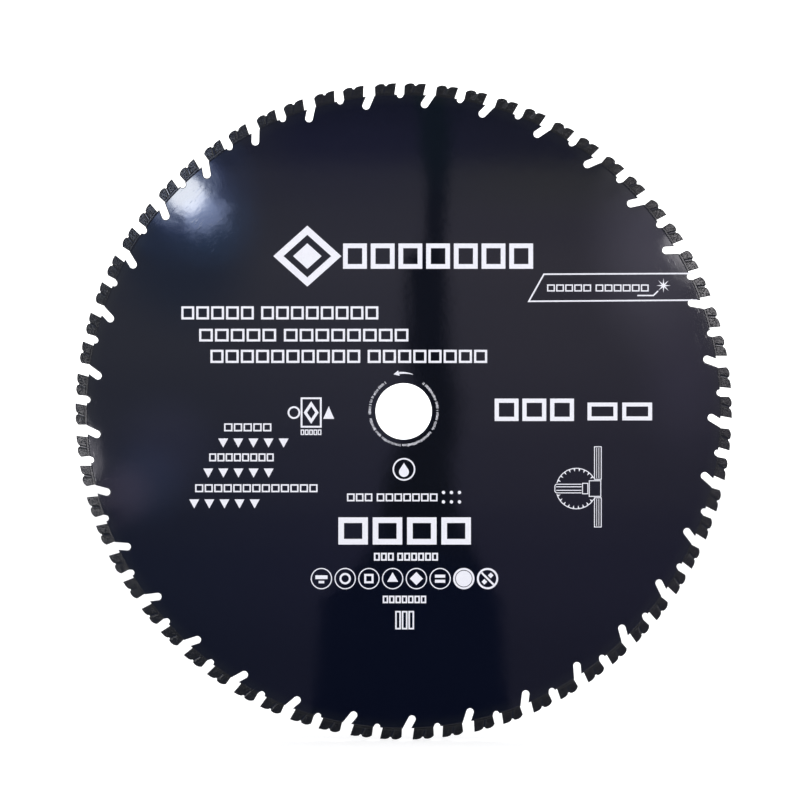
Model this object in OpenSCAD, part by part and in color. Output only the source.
// Diamond blade for sawing hard and reinforced concrete, held by a plain round bore.
//
// The blade stands upright: its spin axis is Y, its front face looks along -Y, and the
// origin is the centre of the bore, halfway through the steel.  Every flat outline below is
// drawn as seen from the front, with x to the right and y up, about an axis along z, and
// upright() turns it into place.  Angles are degrees clockwise from the top of the blade.
// The blade turns anticlockwise, so the left end of each segment leads.

/* [Blade] */
// Cutting diameter over the segments
blade_d = 700; // [695:5:720]
// Diameter of the arbor bore
bore_d = 60; // [50:0.5:62]
// Thickness of the steel core
core_t = 3.5; // [3:0.1:3.8]
// Number of lands, each with two segments
lands = 33; // [30:1:33]

/* [Segments] */
// Height of a segment with its base layer
segment_h = 12; // [11:0.5:14]
// Thickness of the diamond part
segment_t = 4.7; // [4.5:0.1:5.5]
// Length of a segment along the cutting circle
segment_l = 23; // [21:0.1:23.5]
// How far the leading foot stands ahead of the leading tip
lead_flare = 0.5; // [0:0.1:1]
// How far the trailing tip overhangs the trailing foot
trail_undercut = 2; // [0:0.1:2.5]
// Gap between the two segments of a land, over the deep gullet
wide_gap = 11.7; // [11:0.1:12.5]
// Radius of the rounded leading lobe
lead_lobe_r = 9; // [8:0.5:12]
// Distance from the leading tip to the crest of the leading lobe
lead_crest = 6.7; // [6:0.1:7.5]
// Radius of the run-in of the trailing lobe
trail_lobe_r = 12; // [10:0.5:14]
// Distance from the leading tip to where the trailing lobe reaches full height
trail_crest = 19; // [18:0.1:20]
// Width of the slanted channel and of the notch that it opens into
channel_w = 2.6; // [2:0.1:3.5]
// Depth of the channel on each side
channel_depth = 0.6; // [0.3:0.1:0.8]
// Lean of the channel, outwards and backwards
channel_slant = 20; // [10:1:25]
// Depth of the notch in the cutting edge
notch_depth = 2.6; // [2:0.1:3.5]
// Distance from the leading tip to the notch
notch_pos = 12; // [11.5:0.1:13]

/* [Base layer and weld] */
// Height of the diamond-free base layer
base_h = 1.5; // [1:0.1:2]
// Thickness of the base layer
base_t = 4.3; // [4.1:0.1:4.5]
// Height of the weld preparation, a bevel on both edges of the rim
bevel_h = 0.8; // [0.5:0.1:1.2]
// Depth of that bevel into the thickness
bevel_t = 0.5; // [0.3:0.1:0.8]

/* [Gullets] */
// Width of a deep gullet
deep_w = 8; // [6:0.5:9]
// Depth of a deep gullet below the cutting circle
deep_depth = 25.8; // [22:0.1:30]
// End radius of a shallow gullet
shallow_r = 3.3; // [2.5:0.1:3.4]
// Depth of a shallow gullet below the cutting circle
shallow_depth = 15.8; // [15:0.1:17]
// Distance of its round end behind the second segment's trailing tip
shallow_shift = 4; // [3.8:0.1:4.2]
// Lean of the gullets, outwards and backwards
gullet_slant = 30; // [20:1:32]

/* [Hidden] */
$fa = 1;
$fs = 0.25;

blade_r = blade_d / 2;
bore_r = bore_d / 2;
rim_r = blade_r - segment_h;
base_r = rim_r + base_h;
pitch = 360 / lands;
bore_bevel = 0.3;
lobe_depth = 5;
past = 1;

// Turn of the whole rim past the top of the blade
rim_turn = 0.15;
// Lands whose base layers, or whose welds, share one node
lands_in_group = 3;
groups = ceil(lands / lands_in_group);

function two_digits(n) = str(n < 10 ? "0" : "", n);
function pair_name(n) = str("segment_pair_", two_digits(n));
function base_name(n) = str("base_layers_", two_digits(n));
function weld_name(n) = str("weld_seams_", two_digits(n));

// A length along a circle as an angle, and a point given by radius and clockwise angle
function arc_deg(length, r) = length / r * 180 / PI;
function polar(r, a) = [r * sin(a), r * cos(a)];

// A segment's own angles, from its middle
tip_half = arc_deg(segment_l / 2, blade_r);
lead_foot = -tip_half - arc_deg(lead_flare, rim_r);
trail_foot = tip_half - arc_deg(trail_undercut, rim_r);
function from_lead(length) = arc_deg(length, blade_r) - tip_half;

// Angles on one land, from the first segment's leading tip.  A deep gullet ends in line with
// the first segment's trailing tip, and leans back to the second one's leading foot.
first_mid = tip_half;
second_mid = tip_half + arc_deg(segment_l + wide_gap, blade_r);
deep_at = first_mid + tip_half;
shallow_at = second_mid + tip_half + arc_deg(shallow_shift, blade_r);
segment_mids = [first_mid, second_mid];

function land_turn(n) = rim_turn + (n - 1) * pitch;
function lands_of_group(n) = [
    for (k = [(n - 1) * lands_in_group + 1:min(n * lands_in_group, lands)]) k
];

module upright() rotate([90, 0, 0]) children();

// Turns a shape drawn at the top of the blade clockwise to its place
module at(angle) rotate([0, 0, -angle]) children();

// A slot of constant width with a round end, drawn from that end outwards
module round_slot(width, reach) {
    circle(d = width);
    translate([-width / 2, 0]) square([width, reach]);
}

// ---------------------------------------------------------------- steel core

module core_profile() {
    half_t = core_t / 2;
    polygon([
        [bore_r, -half_t + bore_bevel],
        [bore_r + bore_bevel, -half_t],
        [rim_r - bevel_h, -half_t],
        [rim_r, -half_t + bevel_t],
        [rim_r, half_t - bevel_t],
        [rim_r - bevel_h, half_t],
        [bore_r + bore_bevel, half_t],
        [bore_r, half_t - bore_bevel]
    ]);
}

module deep_gullet() {
    reach = deep_depth;
    translate([0, blade_r - deep_depth + deep_w / 2])
        rotate(-gullet_slant) round_slot(deep_w, reach);
}

// A half-round whose left wall runs straight out and whose right wall leans back
module shallow_gullet() {
    reach = segment_h;
    side = shallow_r * [cos(gullet_slant), -sin(gullet_slant)];
    translate([0, blade_r - shallow_depth + shallow_r]) {
        circle(r = shallow_r);
        polygon([
            [-shallow_r, 0],
            side,
            side + reach * [sin(gullet_slant), cos(gullet_slant)],
            [-shallow_r, reach]
        ]);
    }
}

module gullets() {
    for (n = [1:lands]) {
        at(land_turn(n) + deep_at) deep_gullet();
        at(land_turn(n) + shallow_at) shallow_gullet();
    }
}

module steel_core() {
    color([0.10, 0.10, 0.17]) upright() difference() {
        rotate_extrude() core_profile();
        linear_extrude(core_t + 2 * past, center = true) gullets();
    }
}

// ---------------------------------------------------------------- segments

// The space between a segment's two flanks, carried a little past its foot and tip
module flanks() {
    lead = [polar(rim_r, lead_foot), polar(blade_r, -tip_half)];
    trail = [polar(rim_r, trail_foot), polar(blade_r, tip_half)];
    extra = 0.1;
    function on(flank, s) = flank[0] + s * (flank[1] - flank[0]);
    polygon([on(lead, -extra), on(lead, 1 + extra), on(trail, 1 + extra), on(trail, -extra)]);
}

module channel_line() {
    end_r = blade_r - notch_depth + channel_w / 2;
    translate(polar(end_r, from_lead(notch_pos))) rotate(-channel_slant) children();
}

// Two crests over a common body: a rounded one that leads and a square one that trails
module crests() {
    circle(r = blade_r - lobe_depth);
    translate(polar(blade_r - lead_lobe_r, from_lead(lead_crest))) circle(r = lead_lobe_r);
    translate(polar(blade_r - trail_lobe_r, from_lead(trail_crest))) {
        circle(r = trail_lobe_r);
        rotate(-from_lead(trail_crest)) square(trail_lobe_r + past);
    }
}

module segment_outline() {
    difference() {
        intersection() {
            circle(r = blade_r);
            flanks();
            crests();
        }
        circle(r = base_r);
        channel_line() round_slot(channel_w, segment_h);
    }
}

// The channel's floor stays, so only a slab of it is taken off each side
module channels(thickness) {
    for (side = [-1, 1]) {
        translate([0, 0, side * (thickness / 2 + past / 2)])
            linear_extrude(past + 2 * (channel_depth - (segment_t - thickness) / 2), center = true)
                channel_line() square([channel_w, 3 * segment_h], center = true);
    }
}

module diamond_segment() {
    difference() {
        linear_extrude(segment_t, center = true) segment_outline();
        channels(segment_t);
    }
}

module segment_pair(n) {
    color([0.19, 0.20, 0.19]) upright() {
        for (mid = segment_mids) at(land_turn(n) + mid) diamond_segment();
    }
}

// ---------------------------------------------------------------- base layers and welds

module base_layer() {
    difference() {
        linear_extrude(base_t, center = true) difference() {
            intersection() {
                circle(r = base_r);
                flanks();
            }
            circle(r = rim_r);
        }
        channels(base_t);
    }
}

module base_layers(n) {
    color([0.36, 0.37, 0.38]) upright() {
        for (k = lands_of_group(n), mid = segment_mids) at(land_turn(k) + mid) base_layer();
    }
}

// A fillet weld on one side: it fills the corner between the rim's bevel and the base layer
module weld_bead(side) {
    at(trail_foot) rotate([0, 0, 90]) rotate_extrude(angle = trail_foot - lead_foot) polygon([
        [rim_r - bevel_h, side * core_t / 2],
        [rim_r, side * (core_t / 2 - bevel_t)],
        [rim_r, side * base_t / 2]
    ]);
}

module weld_seams(n) {
    color([0.42, 0.42, 0.45]) upright() {
        for (k = lands_of_group(n), mid = segment_mids, side = [-1, 1])
            at(land_turn(k) + mid) weld_bead(side);
    }
}

// ---------------------------------------------------------------- nodes

steel_core();
for (n = [1:lands]) segment_pair(n);
for (n = [1:groups]) base_layers(n);
for (n = [1:groups]) weld_seams(n);
